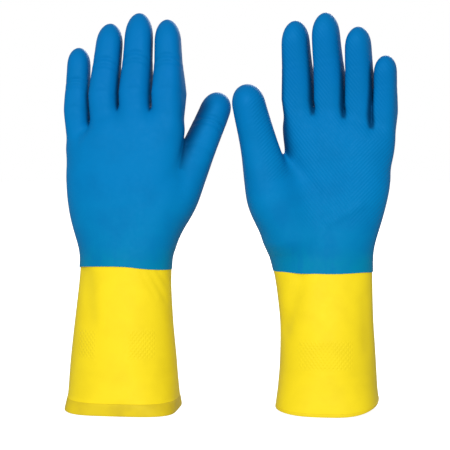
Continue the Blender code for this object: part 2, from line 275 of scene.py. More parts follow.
def measure_body(side, origin, axes, wrist):
    """The cuff's and hand's two side edges and depth at each height."""
    cuff = node_edges(origin, axes, f"{side}_cuff_hem", f"{side}_cuff_sleeve")
    hand = node_edges(origin, axes, f"{side}_hand_dip")
    up = np.array([0.0, 0.0, 1.0])
    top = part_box(f"{side}_hand_dip")[1].z / MM - ROOTS_HEIGHT
    rows = []
    for z in (0.5, 5, 12, 20, 28, 40, 55, 70, 85, wrist - WRIST_NOTCH, wrist + WRIST_NOTCH, wrist + 16):
        points = cut(cuff if z < wrist else hand, (0, 0, z), up)
        rows.append((z, points[:, 0].min(), points[:, 0].max(), np.ptp(points[:, 1])))
    # Higher up the thumb's root is in the way, so only the little finger's side and the depth are measured.
    for z in np.linspace(wrist + 28, top, 7):
        points = cut(hand, (0, 0, z), up)
        inner = points[np.abs(points[:, 0]) < 12]
        rows.append((z, points[:, 0].min(), np.nan, np.ptp(inner[:, 1])))
    points = cut(hand, (0, 0, top + 4), up)
    rows.append((top + 4, points[:, 0].min(), points[:, 0].max(), np.nan))
    rows.append((CROWNS[side][0], points[:, 0].min(), points[:, 0].max(), CROWN_DEPTH))
    z, low, high, depth = np.array(rows).T
    levels = np.arange(0.0, top + 30, BODY_STEP)
    curves = []
    for values in (low, high, depth):
        known = ~np.isnan(values)
        curves.append(smoothed(np.interp(levels, z[known], values[known]), BODY_SMOOTHING))
    low, high, depth = curves
    for height, low_change, high_change in BODY_FIT[side]:
        share = np.exp(-0.5 * ((levels - height) / FIT_SPREAD) ** 2)
        low += low_change * share
        high += high_change * share
    # How square the section is, from the rim up to the hand's top.
    powers = (RIM_POWER[side], 2.7, 2.2, 2.1, 2.45, 2.9)
    power = np.interp(levels, (0, 12, 30, wrist - 12, wrist + 30, top), powers)
    return Body(levels, low, high, depth, power, CROWNS[side])


def measure_digit(side, name, origin, axes):
    """A stall's centreline and half sizes along its own axis, from its CAD pieces."""
    bends = [JOINTS[f"{side}_{name}_{part}"] for part in ("knuckle", "middle")]
    knuckle, middle = (to_glove(origin, axes, bend["pos_m"]) for bend in bends)
    edges = node_edges(origin, axes, f"{side}_{name}_base_dip", f"{side}_{name}_tip_dip")
    tip_points = node_edges(origin, axes, f"{side}_{name}_tip_dip").reshape(-1, 3)
    away = np.linalg.norm(tip_points - middle, axis=1)
    tip = tip_points[away > away.max() - TIP_CAP].mean(axis=0)
    along = (tip - knuckle) / np.linalg.norm(tip - knuckle)
    side_axis = -axes @ np.array(bends[0]["axis"])
    palm = np.cross(along, side_axis)
    palm /= np.linalg.norm(palm)
    side_axis = np.cross(palm, along)
    reach = float((tip - knuckle) @ along)
    bend = float((middle - knuckle) @ along)
    rows = []
    for s in (2, bend * 0.35, bend * 0.5, bend * 0.75, bend + 2.5, bend + (reach - bend) * 0.35):
        points = cut(edges, knuckle + along * s, along) - knuckle
        u, v = points @ side_axis, points @ palm
        rows.append((s, (u.min() + u.max()) / 2, v.min(), np.ptp(u) / 2, np.ptp(v) / np.ptp(u)))
    s, u, back, half_width, share = np.array(rows).T
    half_depth = half_width * share[2]
    v = back + half_depth
    fit = STALL_FIT[side][name]
    u += np.interp(s, (0, reach), fit.shift)
    half_width += np.interp(s, (0, reach), fit.swell)
    if name == "thumb":
        v += THUMB_TO_PALM[side]
    dome_start = reach - TIP_LENGTHS[name] * 2 * half_width[-1]
    rows = (s, u, v, half_width, half_depth)
    return add_root(side, name, (knuckle, along, side_axis, palm), rows, dome_start, reach)


def add_root(side, name, place, rows, dome_start, reach):
    """The digit with its centreline carried on into the hand."""
    knuckle, along, side_axis, palm = place
    s, u, v, half_width, half_depth = rows
    if name == "thumb":
        roots = THUMB_ROOTS[side]
        places = np.array([root[0] for root in roots], float) - knuckle
        widths = np.array([root[1] for root in roots], float)
    else:
        places = np.array([(-knuckle[0] * ROOT_LEAN, -knuckle[1], -ROOT_LENGTH)])
        places = places + side_axis * u[0]
        widths = half_width[:1] * (LITTLE_ROOT_WIDTH if name == "little" else 1.0)
    share = half_depth[0] / half_width[0]
    s_all = np.concatenate([places @ along, s])
    u_all = np.concatenate([places @ side_axis, u])
    v_all = np.concatenate([places @ palm, v])
    w_all = np.concatenate([widths, half_width])
    d_all = np.concatenate([widths * share, half_depth])
    steps = np.arange(s_all[0], reach + 1, DIGIT_STEP)
    curves = []
    for values in (u_all, v_all, w_all, d_all):
        curves.append(smoothed(np.interp(steps, s_all, values), DIGIT_SMOOTHING))
    if name == "thumb":
        power, fullness, root_round = THUMB_POWER, 0, THUMB_ROOT_ROUND
    else:
        power, fullness, root_round = FINGER_POWER, PALM_FULLNESS, ROOT_ROUND
    sizes = (dome_start, reach - dome_start, reach, power, fullness, STALL_FIT[side][name].turn, root_round)
    return Digit(name, knuckle, along, side_axis, palm, steps, *curves, *sizes)


def measure_glove(side):
    wrist = JOINTS[f"{side}_wrist"]
    x_axis = -np.array(wrist["axis"], float)
    axes = np.array([x_axis, np.cross((0, 0, 1), x_axis), (0, 0, 1)])
    low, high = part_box(f"{side}_cuff_hem")
    origin = np.array([low.x + high.x, low.y + high.y, 0.0]) / 2 / MM
    height = wrist["pos_m"][2] / MM
    body = measure_body(side, origin, axes, height)
    digits = [measure_digit(side, name, origin, axes) for name in DIGITS]
    return Glove(side, origin, axes, height, height + LINE_RISE[side], body, digits)


# The distance field.


def body_gauge(body, points):
    """1 on the cuff's and hand's surface, less inside and more outside."""
    x, y, z = points[..., 0], points[..., 1], points[..., 2]
    low, high, depth, power = (
        np.interp(z, body.z, values) for values in (body.low, body.high, body.depth, body.power)
    )
    across = np.abs(2 * x - low - high) / (high - low)
    through = np.abs(2 * y) / depth
    apex, slope, drop = body.crown
    near = np.clip(x, -CROWN_REACH, CROWN_REACH)
    over = np.clip((z - apex - slope * near - drop * near**2) / CROWN_ROUND + 1, 0, None)
    return (across**power + through**power + over**power) ** (1 / power)


def digit_place(digit, points):
    """How far along the digit, and how far off its centreline towards its side and its palm."""
    offset = points - digit.knuckle
    s = offset @ digit.along
    u = offset @ digit.side - np.interp(s, digit.s, digit.u)
    v = offset @ digit.palm - np.interp(s, digit.s, digit.v)
    return s, u, v


def digit_gauge(digit, points):
    """1 on the digit's surface, less inside and more outside."""
    s, u, v = digit_place(digit, points)
    half_width = np.interp(s, digit.s, digit.half_width)
    half_depth = np.interp(s, digit.s, digit.half_depth)
    over = np.clip((s - digit.dome_start) / digit.dome, 0, None)
    under = np.clip((digit.s[0] + digit.root_round - s) / digit.root_round, 0, None)
    through = v / half_depth
    turn = np.interp(s, (-25, 0, 0.45 * digit.reach), (0, *digit.turn))
    across = (u - turn * v) / (half_width * (1 + digit.fullness * np.clip(through, -1, 1)))
    stations = (digit.s[0], 0, digit.dome_start, digit.reach)
    power = np.interp(s, stations, (2.0, digit.power, digit.power - 0.5, 2.1))
    sizes = (np.abs(across), np.abs(through), over, under)
    return sum(size**power for size in sizes) ** (1 / power)


def smooth_union(a, b, width):
    """The nearer of two distances, rounded off where they differ by less than width."""
    overlap = np.clip(width - np.abs(a - b), 0, None) / width
    return np.minimum(a, b) - overlap**2 * width / 4


def distance(gauge, step):
    """A gauge turned into millimetres near its surface."""
    slopes = np.gradient(gauge, step)
    return (gauge - 1) / np.sqrt(sum(slope**2 for slope in slopes)).clip(1e-4)


def glove_field(glove, bottom):
    """The distance field on a grid, and the grid's lowest corner."""
    margin = 6
    lows, highs = [], []
    for digit in glove.digits:
        tip = digit.knuckle + digit.along * digit.reach
        spread = digit.half_width.max() + margin
        lows.append(np.minimum(tip, digit.knuckle) - spread)
        highs.append(np.maximum(tip, digit.knuckle) + spread)
    low = np.min(lows, axis=0)
    high = np.max(highs, axis=0)
    low[1] = min(low[1], -glove.body.depth.max() / 2 - margin)
    high[1] = max(high[1], glove.body.depth.max() / 2 + margin)
    low[2] = bottom
    counts = np.ceil((high - low) / VOXEL).astype(int) + 1
    ranges = [low[k] + VOXEL * np.arange(counts[k]) for k in range(3)]
    points = np.stack(np.meshgrid(*ranges, indexing="ij"), axis=-1)
    fingers = None
    for digit in glove.digits[:4]:
        finger = distance(digit_gauge(digit, points), VOXEL)
        fingers = finger if fingers is None else smooth_union(fingers, finger, FINGER_JOIN)
    hand = smooth_union(distance(body_gauge(glove.body, points), VOXEL), fingers, HAND_JOIN)
    thumb = distance(digit_gauge(glove.digits[4], points), VOXEL)
    join = np.interp(points[..., 2], THUMB_JOIN_HEIGHTS, THUMB_JOIN[glove.name])
    return smooth_union(hand, thumb, join), low


# From the field to a mesh.


def surface_net(field, level, low, step):
    """Points and quads of the surface where the field crosses a level; it stays open at the grid's floor."""
    inside = field < level
    shape = np.array(field.shape) - 1
    total = np.zeros((*shape, 3))
    count = np.zeros(shape)
    corners = [(i, j, k) for i in (0, 1) for j in (0, 1) for k in (0, 1)]
    for a in corners:
        for axis in range(3):
            if a[axis]:
                continue
            b = tuple(value + (n == axis) for n, value in enumerate(a))
            views = [tuple(slice(c[n], c[n] + shape[n]) for n in range(3)) for c in (a, b)]
            first, second = field[views[0]], field[views[1]]
            crossing = inside[views[0]] != inside[views[1]]
            share = np.where(crossing, (level - first) / np.where(crossing, second - first, 1), 0)
            for n in range(3):
                total[..., n] += np.where(crossing, a[n] + (share if n == axis else 0), 0)
            count += crossing
    active = count > 0
    index = np.full(shape, -1)
    index[active] = np.arange(active.sum())
    cells = np.argwhere(active)
    points = low + step * (cells + total[active] / count[active][:, None])
    quads = []
    for axis in range(3):
        others = [n for n in range(3) if n != axis]
        before = [slice(1, -1)] * 3
        before[axis] = slice(0, -1)
        after = list(before)
        after[axis] = slice(1, None)
        start, end = inside[tuple(before)], inside[tuple(after)]
        changed = np.argwhere(start != end)
        cell = changed + 1
        cell[:, axis] -= 1
        ring = []
        for p, q in ((-1, -1), (0, -1), (0, 0), (-1, 0)):
            place = cell.copy()
            place[:, others[0]] += p
            place[:, others[1]] += q
            ring.append(index[tuple(place.T)])
        quad = np.stack(ring, axis=1)
        outward = start[tuple(changed.T)] ^ (axis == 1)
        quad[~outward] = quad[~outward][:, ::-1]
        quads.append(quad)
    return points, np.concatenate(quads)


def sample(field, low, step, points):
    """The field at any points, by trilinear interpolation."""
    place = np.clip((points - low) / step, 0, np.array(field.shape) - 1.001)
    cell = place.astype(int)
    share = place - cell
    result = 0
    for corner in ((i, j, k) for i in (0, 1) for j in (0, 1) for k in (0, 1)):
        weight = np.prod([share[:, n] if corner[n] else 1 - share[:, n] for n in range(3)], axis=0)
        result = result + weight * field[tuple((cell + corner).T)]
    return result


def relaxed(points, quads, field, level, low, step, rounds=4):
    """The points evened out over the surface, and put back on it after each round. Those on the grid's floor
    stay."""
    slopes = np.gradient(field, step)
    pairs = np.concatenate([quads[:, [k, (k + 1) % 4]] for k in range(4)])
    neighbours = np.bincount(pairs[:, 0], minlength=len(points)).clip(1)[:, None]
    floor = points[:, 2] < low[2] + step
    for _ in range(rounds):
        mean = np.zeros_like(points)
        np.add.at(mean, pairs[:, 0], points[pairs[:, 1]])
        moved = points + 0.6 * (mean / neighbours - points)
        moved[floor] = points[floor]
        slope = np.stack([sample(part, low, step, moved) for part in slopes], axis=1)
        excess = sample(field, low, step, moved) - level
        size = (slope**2).sum(axis=1).clip(0.05)
        points = moved - slope * (excess / size)[:, None] * 0.9
    return points


def cut_skin(points, quads, seams, bottom):
    """The mesh with clean edges along each seam plane, and nothing below the bottom."""
    bm = bmesh.new()
    verts = [bm.verts.new(point) for point in points]
    for quad in quads:
        bm.faces.new([verts[k] for k in quad])
    everything = bm.verts[:] + bm.edges[:] + bm.faces[:]
    bmesh.ops.bisect_plane(bm, geom=everything, plane_co=(0, 0, bottom), plane_no=(0, 0, 1), clear_inner=True)
    for digit, s in seams:
        centres = np.array([face.calc_center_median() for face in bm.faces])
        far, _, _ = digit_place(digit, centres)
        near = (np.abs(far - s) < 2 * VOXEL + 1) & (digit_gauge(digit, centres) < NEAR_DIGIT)
        bm.faces.ensure_lookup_table()
        faces = [bm.faces[k] for k in np.flatnonzero(near)]
        edges = list({edge for face in faces for edge in face.edges})
        ring = list({vert for face in faces for vert in face.verts})
        place = Vector(digit.knuckle + digit.along * s)
        bmesh.ops.bisect_plane(bm, geom=faces + edges + ring, plane_co=place, plane_no=Vector(digit.along))
    bm.normal_update()
    bm.verts.index_update()
    result = np.array([vert.co for vert in bm.verts])
    faces = [[vert.index for vert in face.verts] for face in bm.faces]
    centres = np.array([face.calc_center_median() for face in bm.faces])
    bm.free()
    return result, faces, centres


def vertex_normals(points, faces):
    mesh = bpy.data.meshes.new("normals")
    mesh.from_pydata(points.tolist(), [], faces)
    normals = np.zeros(len(points) * 3)
    mesh.vertices.foreach_get("normal", normals)
    bpy.data.meshes.remove(mesh)
    return normals.reshape(-1, 3)


# Pieces with real walls.


def shell_mesh(name, glove, skin, chosen, layer, attributes):
    """A closed shell from the chosen faces of a skin: an outer wall, an inner one and the rims between."""
    depth, wall = layer
    used = np.unique([k for f in chosen for k in skin.faces[f]])
    index = np.full(len(skin.points), -1)
    index[used] = np.arange(len(used))
    n = len(used)
    outer = skin.points[used] - skin.normals[used] * depth
    inner = skin.points[used] - skin.normals[used] * (depth + wall)
    ends = {}
    faces = []
    for f in chosen:
        loop = [int(index[k]) for k in skin.faces[f]]
        faces.append(loop)
        for a, b in zip(loop, loop[1:] + loop[:1]):
            if (b, a) in ends:
                del ends[(b, a)]
            else:
                ends[(a, b)] = True
    walls = faces + [[k + n for k in reversed(loop)] for loop in faces]
    rims = [[b, a, a + n, b + n] for a, b in ends]
    mesh = bpy.data.meshes.new(name)
    mesh.from_pydata(to_world(glove, np.concatenate([outer, inner])).tolist(), [], walls + rims)
    # Both walls keep the whole skin's normals, so that no seam shows between pieces; the rims are flat.
    normals = skin.normals[used] @ glove.axes
    both = np.concatenate([normals, -normals])
    loops = np.zeros(len(mesh.loops), int)
    mesh.loops.foreach_get("vertex_index", loops)
    custom = both[loops]
    custom[sum(len(loop) for loop in walls):] = 0
    mesh.shade_smooth()
    mesh.normals_split_custom_set(custom.tolist())
    for key, values in attributes.items():
        store(mesh, key, np.concatenate([values[used]] * 2))
    return mesh


def store(mesh, key, values):
    """A number or a vector for each vertex, which the materials read."""
    kind, field_name = ("FLOAT", "value") if values.ndim == 1 else ("FLOAT_VECTOR", "vector")
    made = mesh.attributes.new(key, kind, "POINT")
    made.data.foreach_set(field_name, values.astype(np.float32).ravel())


def add_piece(mesh, name, node, material):
    piece = bpy.data.objects.new(name, mesh)
    mesh.materials.append(material)
    bpy.context.scene.collection.objects.link(piece)
    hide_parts(node)
    return piece


def bend_at_wrist(piece):
    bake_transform(piece)


def bend_digit(piece):
    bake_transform(piece)


def middle_of(glove, digit):
    """The distance along the digit from its knuckle to its middle joint."""
    place = to_glove(glove.origin, glove.axes, JOINTS[f"{glove.name}_{digit.name}_middle"]["pos_m"])
    return float((place - digit.knuckle) @ digit.along)


# Surface detail.


def step_up(values, start, end):
    """0 up to start and 1 from end, with a smooth rise between."""
    share = np.clip((values - start) / (end - start), 0, 1)
    return share**2 * (3 - 2 * share)


def waves(points, height):
    """The slight unevenness of hand-dipped rubber."""
    x, y, z = points.T
    swell = np.sin(x / 13 + z / 29 + 1) + np.sin(y / 9 - z / 37 + 2) + np.sin((x - y) / 21 + z / 17)
    return swell * height / 3


def line_marks(points, facing, marks):
    """Soft grooves and ridges along straight lines, as seen from the front or back. Each mark states its side
    (-1 for the back of the hand, 1 for the palm), its two ends in X and Z, its height and its half width."""
    result = np.zeros(len(points))
    flat = points[:, [0, 2]]
    for side, start, end, height, spread in marks:
        start, end = np.array(start, float), np.array(end, float)
        run = end - start
        share = np.clip((flat - start) @ run / (run @ run), 0, 1)
        off = np.linalg.norm(flat - start - share[:, None] * run, axis=1)
        result += height * np.exp(-0.5 * (off / spread) ** 2) * step_up(facing * side, 0.1, 0.6)
    return result


def knuckle_creases(glove, points, facing):
    """Shallow grooves across the stalls where the rubber has been folded, bowed towards the fingertip."""
    result = np.zeros(len(points))
    for digit in glove.digits:
        middle = middle_of(glove, digit)
        s, u, _ = digit_place(digit, points)
        mine = digit_gauge(digit, points) < 1.1
        for share, depth, width in CREASES:
            bow = CREASE_BOW * (u / 10) ** 2
            groove = np.exp(-0.5 * ((s - share * middle + bow) / width) ** 2)
            result -= np.where(mine, groove * depth, 0)
    return result * (CREASE_ON_PALM + (1 - CREASE_ON_PALM) * step_up(-facing, 0.1, 0.7))


def hand_relief(glove, points, normals):
    """How far each point of the hand and stalls stands out from the smooth surface."""
    facing = normals[:, 1]
    x, _, z = points.T
    relief = waves(points, 0.35) * step_up(z, glove.line, glove.line + 30)
    relief += line_marks(points, facing, HAND_MARKS)
    relief += knuckle_creases(glove, points, facing)
    (middle_x, middle_z), (wide, high), depth = PALM_HOLLOW
    hollow = np.exp(-(((x - middle_x) / wide) ** 2) - ((z - glove.line - middle_z) / high) ** 2)
    return relief - depth * hollow * step_up(facing, 0.2, 0.7)


def dip_edge(glove, points):
    """How far the blue's lower edge strays up and down, fading out above it."""
    x, y, z = points.T
    tilt, bow = EDGE_SHAPE[glove.name]
    ripples = 0.3 * np.sin(x / 5 + 1) * step_up(x, -5, 20) + 0.3 * np.sin(y / 5 + x / 17)
    stray = tilt * x + bow * (1 - (x / 40) ** 2) * step_up(-y, -4, 10) + ripples
    return stray * (1 - step_up(z, glove.line, glove.line + 24))


def hand_attributes(glove, points, normals):
    """What the blue's material reads: the rest place, the ribs' strength, 1 where they lean the other way,
    and how much painted shade and painted shadow darken it."""
    x, _, z = points.T
    above_wrist = step_up(z, *(glove.line + rise for rise in GRIP_RISE))
    grip = step_up(normals[:, 1], 0.1, 0.55) * above_wrist
    ball_of_thumb = step_up(x, 14, 24) * (1 - step_up(z, 188, 205))
    thumb = glove.digits[4]
    s, u, _ = digit_place(thumb, points)
    on_thumb = (digit_gauge(thumb, points) < 1.15) & (s > -25)
    thumb_grip = step_up(normals @ thumb.palm, 0.3, 0.7) * above_wrist
    grip = np.where(on_thumb, thumb_grip * (1 - step_up(u, -3, 3)), grip * (1 - ball_of_thumb))
    fingertips = step_up(z, 283, 297) * 0.5
    little_side = (1 - step_up(x, -20, -17)) * (1 - step_up(z, 214, 217))
    return {
        "rest": points,
        "grip": np.maximum(grip, fingertips),
        "lean": np.where(on_thumb, 1.0, little_side),
        # Painted shade between the stalls and painted shadow by the thumb, mixed into the blue.
        "pooled": pooled(glove, points, normals),
    }


def pooled(glove, points, normals):
    """How much painted shade and painted shadow darken the blue, 0 to 1: between the stalls, and between the
    thumb and the hand.
    """
    gaps = []  # how far off each digit's surface, in about millimetres
    for digit in glove.digits:
        s, _, _ = digit_place(digit, points)
        width = np.interp(s, digit.s, digit.half_width)
        gaps.append(np.where(s > -30, (digit_gauge(digit, points) - 1) * width, 99.0))
    nearest, second = np.sort(gaps[:4], axis=0)[:2]
    on_stall = 1 - step_up(nearest, 1.5, 3.0)
    between = (1 - step_up(second, *SHADE_REACH[glove.name])) * on_stall
    thumb = glove.digits[4]
    s, u, _ = digit_place(thumb, points)
    thumb_share, hand_reach = THUMB_SHADOW[glove.name]
    on_thumb = (1 - step_up(gaps[4], 1.5, 4.5)) * (s > -20)
    inner_side = (1 - step_up(u, -13, 0)) * (1 - step_up(s, 30, thumb.reach + 2)) * step_up(s, -34, -6)
    on_hand = (1 - step_up(gaps[4], 2, hand_reach)) * (1 - on_thumb) * step_up(points[:, 2], 190, 206)
    on_hand *= step_up(normals[:, 0], 0.1, 0.8)
    by_thumb = np.maximum(inner_side * on_thumb * thumb_share, on_hand * (1 - thumb_share))
    return np.maximum(between, by_thumb) * SHADE_STRENGTH[glove.name]


# Materials. Patterns read the rest place in millimetres, so they stay on the rubber when it bends.


def node(tree, kind, settings=None, **inputs):
    """A shader node, with its settings and its inputs set or linked. An input's name uses _ for a space."""
    made = tree.nodes.new("ShaderNode" + kind)
    for key, value in (settings or {}).items():
        setattr(made, key, value)
    for key, value in inputs.items():
        socket = made.inputs[int(key[1:])] if key[1:].isdigit() else made.inputs[key.replace("_", " ")]
        if isinstance(value, bpy.types.NodeSocket):
            tree.links.new(value, socket)
        else:
            socket.default_value = value
    return made


def attribute(tree, name, output):
    return node(tree, "Attribute", {"attribute_name": name}).outputs[output]


def calculate(tree, operation, *values):
    inputs = {f"i{k}": value for k, value in enumerate(values)}
    return node(tree, "Math", {"operation": operation}, **inputs).outputs[0]


def dot(tree, vector, direction):
    settings = {"operation": "DOT_PRODUCT"}
    return node(tree, "VectorMath", settings, i0=vector, i1=direction).outputs["Value"]


def ranged(tree, value, low, high, to_low=0.0, to_high=1.0):
    """The value mapped from one range to another, and held at its ends."""
    limits = {"From_Min": low, "From_Max": high, "To_Min": to_low, "To_Max": to_high}
    return node(tree, "MapRange", None, Value=value, **limits).outputs["Result"]


def noise(tree, vector, scale, detail=2.0):
    return node(tree, "TexNoise", None, Vector=vector, Scale=scale, Detail=detail).outputs["Fac"]


def mixed(tree, share, first, second):
    made = node(tree, "Mix", {"data_type": "RGBA"})
    for key, value in ((0, share), (6, first), (7, second)):
        if isinstance(value, bpy.types.NodeSocket):
            tree.links.new(value, made.inputs[key])
        else:
            made.inputs[key].default_value = value if key == 0 else (*value, 1)
    return made.outputs[2]


def ribs(tree, rest, direction, pitch):
    """Rounded parallel ribs across a direction in X and Z, -1 to 1."""
    x, z = direction
    size = 2 * math.pi / pitch / math.hypot(x, z)
    return calculate(tree, "SINE", dot(tree, rest, (x * size, 0, z * size)))


def new_material(name):
    material = bpy.data.materials.new(name)
    material.use_nodes = True
    tree = material.node_tree
    return material, tree, tree.nodes["Principled BSDF"], attribute(tree, "rest", "Vector")


def finish(tree, shader, colour, roughness, height, specular, gloss_tint):
    """Joins the colour, the roughness and a bump height in millimetres to the shader."""
    bump = node(tree, "Bump", None, Strength=1.0, Distance=MM, Height=height)
    tree.links.new(colour, shader.inputs["Base Color"])
    tree.links.new(roughness, shader.inputs["Roughness"])
    tree.links.new(bump.outputs["Normal"], shader.inputs["Normal"])
    shader.inputs["Specular IOR Level"].default_value = specular
    shader.inputs["Specular Tint"].default_value = (*gloss_tint, 1)


def blue_rubber():
    """Satin dipped rubber: a little greener and thinner near its lower edge, deeper on the fingers.
    Its rib grooves are painted deeper, partly as painted shade, and between the stalls and by the thumb
    it carries painted shade and painted shadow.
    """
    material, tree, shader, rest = new_material("blue_dip")
    height = dot(tree, rest, (0, 0, 1))
    colour = mixed(tree, ranged(tree, height, 195, 265), BLUE, FINGER_BLUE)
    colour = mixed(tree, ranged(tree, height, 180, 118, 0, 0.7), colour, EDGE_BLUE)
    colour = mixed(tree, ranged(tree, height, 132, 119, 0, 0.8), colour, RIM_BLUE)
    cloud = noise(tree, rest, 0.045, 3.0)
    colour = mixed(tree, ranged(tree, cloud, 0.4, 0.7, 0, 0.55), colour, DEEP_BLUE)
    stretched = node(tree, "VectorMath", {"operation": "MULTIPLY"}, i0=rest, i1=(0.16, 0.16, 0.014))
    runs = ranged(tree, noise(tree, stretched.outputs[0], 1.0), 0.5, 0.75, 0, 0.5)
    runs_at_edge = calculate(tree, "MULTIPLY", ranged(tree, height, 160, 118), runs)
    colour = mixed(tree, runs_at_edge, colour, DEEP_BLUE)
    lines = grip_ribs(tree, rest)
    # The rib grooves are painted a deeper blue: partly the thicker dip in them, partly painted shade that
    # brings out the ribs.
    colour = mixed(tree, ranged(tree, lines, 0.0, -1.0, 0, 0.3), colour, DEEP_BLUE)
    # Near-black painted shade between the stalls and painted shadow by the thumb.
    colour = mixed(tree, attribute(tree, "pooled", "Fac"), colour, SHADE_BLUE)
    grain = calculate(tree, "MULTIPLY", noise(tree, rest, 1.3, 3.0), 0.05)
    relief = calculate(tree, "ADD", calculate(tree, "MULTIPLY", lines, 0.05), grain)
    roughness = ranged(tree, noise(tree, rest, 0.3, 2.0), 0.3, 0.7, 0.5, 0.6)
    finish(tree, shader, colour, roughness, relief, 0.25, (0.12, 0.5, 1.0))
    return material


def grip_ribs(tree, rest):
    """Fine ribs, -1 to 1, which lean one way or the other and fade out where there is no grip."""
    lean = attribute(tree, "lean", "Fac")
    upright = calculate(tree, "SUBTRACT", 1.0, lean)
    first = calculate(tree, "MULTIPLY", ribs(tree, rest, (1.0, -0.8), RIB_PITCH), upright)
    second = calculate(tree, "MULTIPLY", ribs(tree, rest, (0.72, 0.69), RIB_PITCH), lean)
    return calculate(tree, "MULTIPLY", calculate(tree, "ADD", second, first), attribute(tree, "grip", "Fac"))


def yellow_rubber(name, bright, deep):
    """Smooth latex with faint crosshatch patches and a slight clouding."""
    material, tree, shader, rest = new_material(name)
    cloud = noise(tree, rest, 0.05, 3.0)
    colour = mixed(tree, ranged(tree, cloud, 0.42, 0.72), bright, deep)
    diagonals = [ribs(tree, rest, (1, lean), KNURL_PITCH) for lean in (0.8, -0.8)]
    strength = calculate(tree, "MULTIPLY", attribute(tree, "knurl", "Fac"), 0.12)
    hatch = calculate(tree, "MULTIPLY", calculate(tree, "MAXIMUM", *diagonals), strength)
    grain = calculate(tree, "MULTIPLY", noise(tree, rest, 1.1, 3.0), 0.05)
    roughness = ranged(tree, noise(tree, rest, 0.3, 2.0), 0.3, 0.7, 0.48, 0.56)
    finish(tree, shader, colour, roughness, calculate(tree, "ADD", hatch, grain), 0.25, (1.0, 0.9, 0.3))
    return material


def flock(name, bright, deep):
    """Short cotton fibres stuck to the inside."""
    material, tree, shader, rest = new_material(name)
    fibres = noise(tree, rest, 2.6, 4.0)
    colour = mixed(tree, ranged(tree, fibres, 0.35, 0.65), deep, bright)
    roughness = ranged(tree, fibres, 0.3, 0.7, 0.9, 1.0)
    finish(tree, shader, colour, roughness, calculate(tree, "MULTIPLY", fibres, 0.25), 0.1, (1, 1, 1))
    shader.inputs["Sheen Weight"].default_value = 0.3
    return material


BLUE_RUBBER = blue_rubber()
YELLOW_RUBBER = yellow_rubber("yellow_cuff", *CUFF_YELLOWS)
HEM_RUBBER = {
    "left": yellow_rubber("yellow_hem", *HEM_YELLOWS["left"]),
    "right": yellow_rubber("pale_hem", *HEM_YELLOWS["right"]),
}
LINER_RUBBER = flock("yellow_liner", *LINER_YELLOWS)
FLOCK = flock("cream_flock", *FLOCK_CREAMS)


# The hand and its stalls.


def make_hand(glove):
    """The blue dip, and on a coarser grid the yellow liner under it."""
    field, low = glove_field(glove, glove.line - 12)
    make_layer(glove, field, low, VOXEL, glove.line, DIP, "dip", BLUE_RUBBER)
    coarse = field[::2, ::2, ::2]
    start = glove.line + DIP_OVERLAP + 0.4
    make_layer(glove, coarse, low, 2 * VOXEL, start, LINER, "liner", LINER_RUBBER)


def make_layer(glove, field, low, step, bottom, layer, suffix, material):
    """One layer of the hand and stalls, from the field's surface at its depth, as a piece for each node."""
    depth, wall = layer
    points, quads = surface_net(field, -depth, low, step)
    points = relaxed(points, quads, field, -depth, low, step)
    seams = []
    for digit in glove.digits:
        middle = middle_of(glove, digit)
        seams += [(digit, ROOT_SEAM * middle), (digit, MIDDLE_SEAM * middle)]
    points, faces, centres = cut_skin(points, quads, seams, bottom)
    normals = vertex_normals(points, faces)
    points = points + normals * hand_relief(glove, points, normals)[:, None]
    points[:, 2] += dip_edge(glove, points)
    normals = vertex_normals(points, faces)
    skin = Skin(points, faces, normals)
    attributes = hand_attributes(glove, points, normals)
    part_of = np.zeros(len(faces), int)
    for number, digit in enumerate(glove.digits):
        s, _, _ = digit_place(digit, centres)
        mine = digit_gauge(digit, centres) < NEAR_DIGIT
        middle = middle_of(glove, digit)
        part_of[mine & (s > ROOT_SEAM * middle)] = 1 + 2 * number
        part_of[mine & (s > MIDDLE_SEAM * middle)] = 2 + 2 * number
    hand_name = f"{glove.name}_hand_{suffix}"
    mesh = shell_mesh(hand_name + "_skin", glove, skin, np.flatnonzero(part_of == 0), (0, wall), attributes)
    bend_at_wrist(add_piece(mesh, hand_name + "_skin", hand_name, material))
    for number, digit in enumerate(glove.digits):
        digit_body = f"{glove.name}_{digit.name}"
        links = (
            ("base", (f"{glove.name}_hand", f"{digit_body}_base"), (ROOT_SEAM, KNUCKLE_BEND_END)),
            ("tip", (f"{digit_body}_base", f"{digit_body}_tip"), (MIDDLE_SEAM, MIDDLE_BEND_END)),
        )
        for k, (part, bodies, shares) in enumerate(links):
            part_name = f"{digit_body}_{part}_{suffix}"
            chosen = np.flatnonzero(part_of == 1 + 2 * number + k)
            mesh = shell_mesh(part_name + "_skin", glove, skin, chosen, (0, wall), attributes)
            piece = add_piece(mesh, part_name + "_skin", part_name, material)
            bend_digit(piece)


# The cuff.


def cuff_outline(glove, z, angle):
    """Points on the cuff's surface at that height and angle round it."""
    body = glove.body
    low, high, depth, power = (
        np.interp(z, body.z, values) for values in (body.low, body.high, body.depth, body.power)
    )
    c, s = np.cos(angle), np.sin(angle)
    x = (low + high) / 2 + (high - low) / 2 * np.sign(c) * np.abs(c) ** (2 / power)
    y = depth / 2 * np.sign(s) * np.abs(s) ** (2 / power)
    mean, lean = RIM_RAISE[glove.name]
    raised = (mean + lean * c) * c**2 * np.clip(1 - z / RIM_REACH, 0, 1) ** 1.5
    return np.stack([x, y, z + raised], axis=-1)


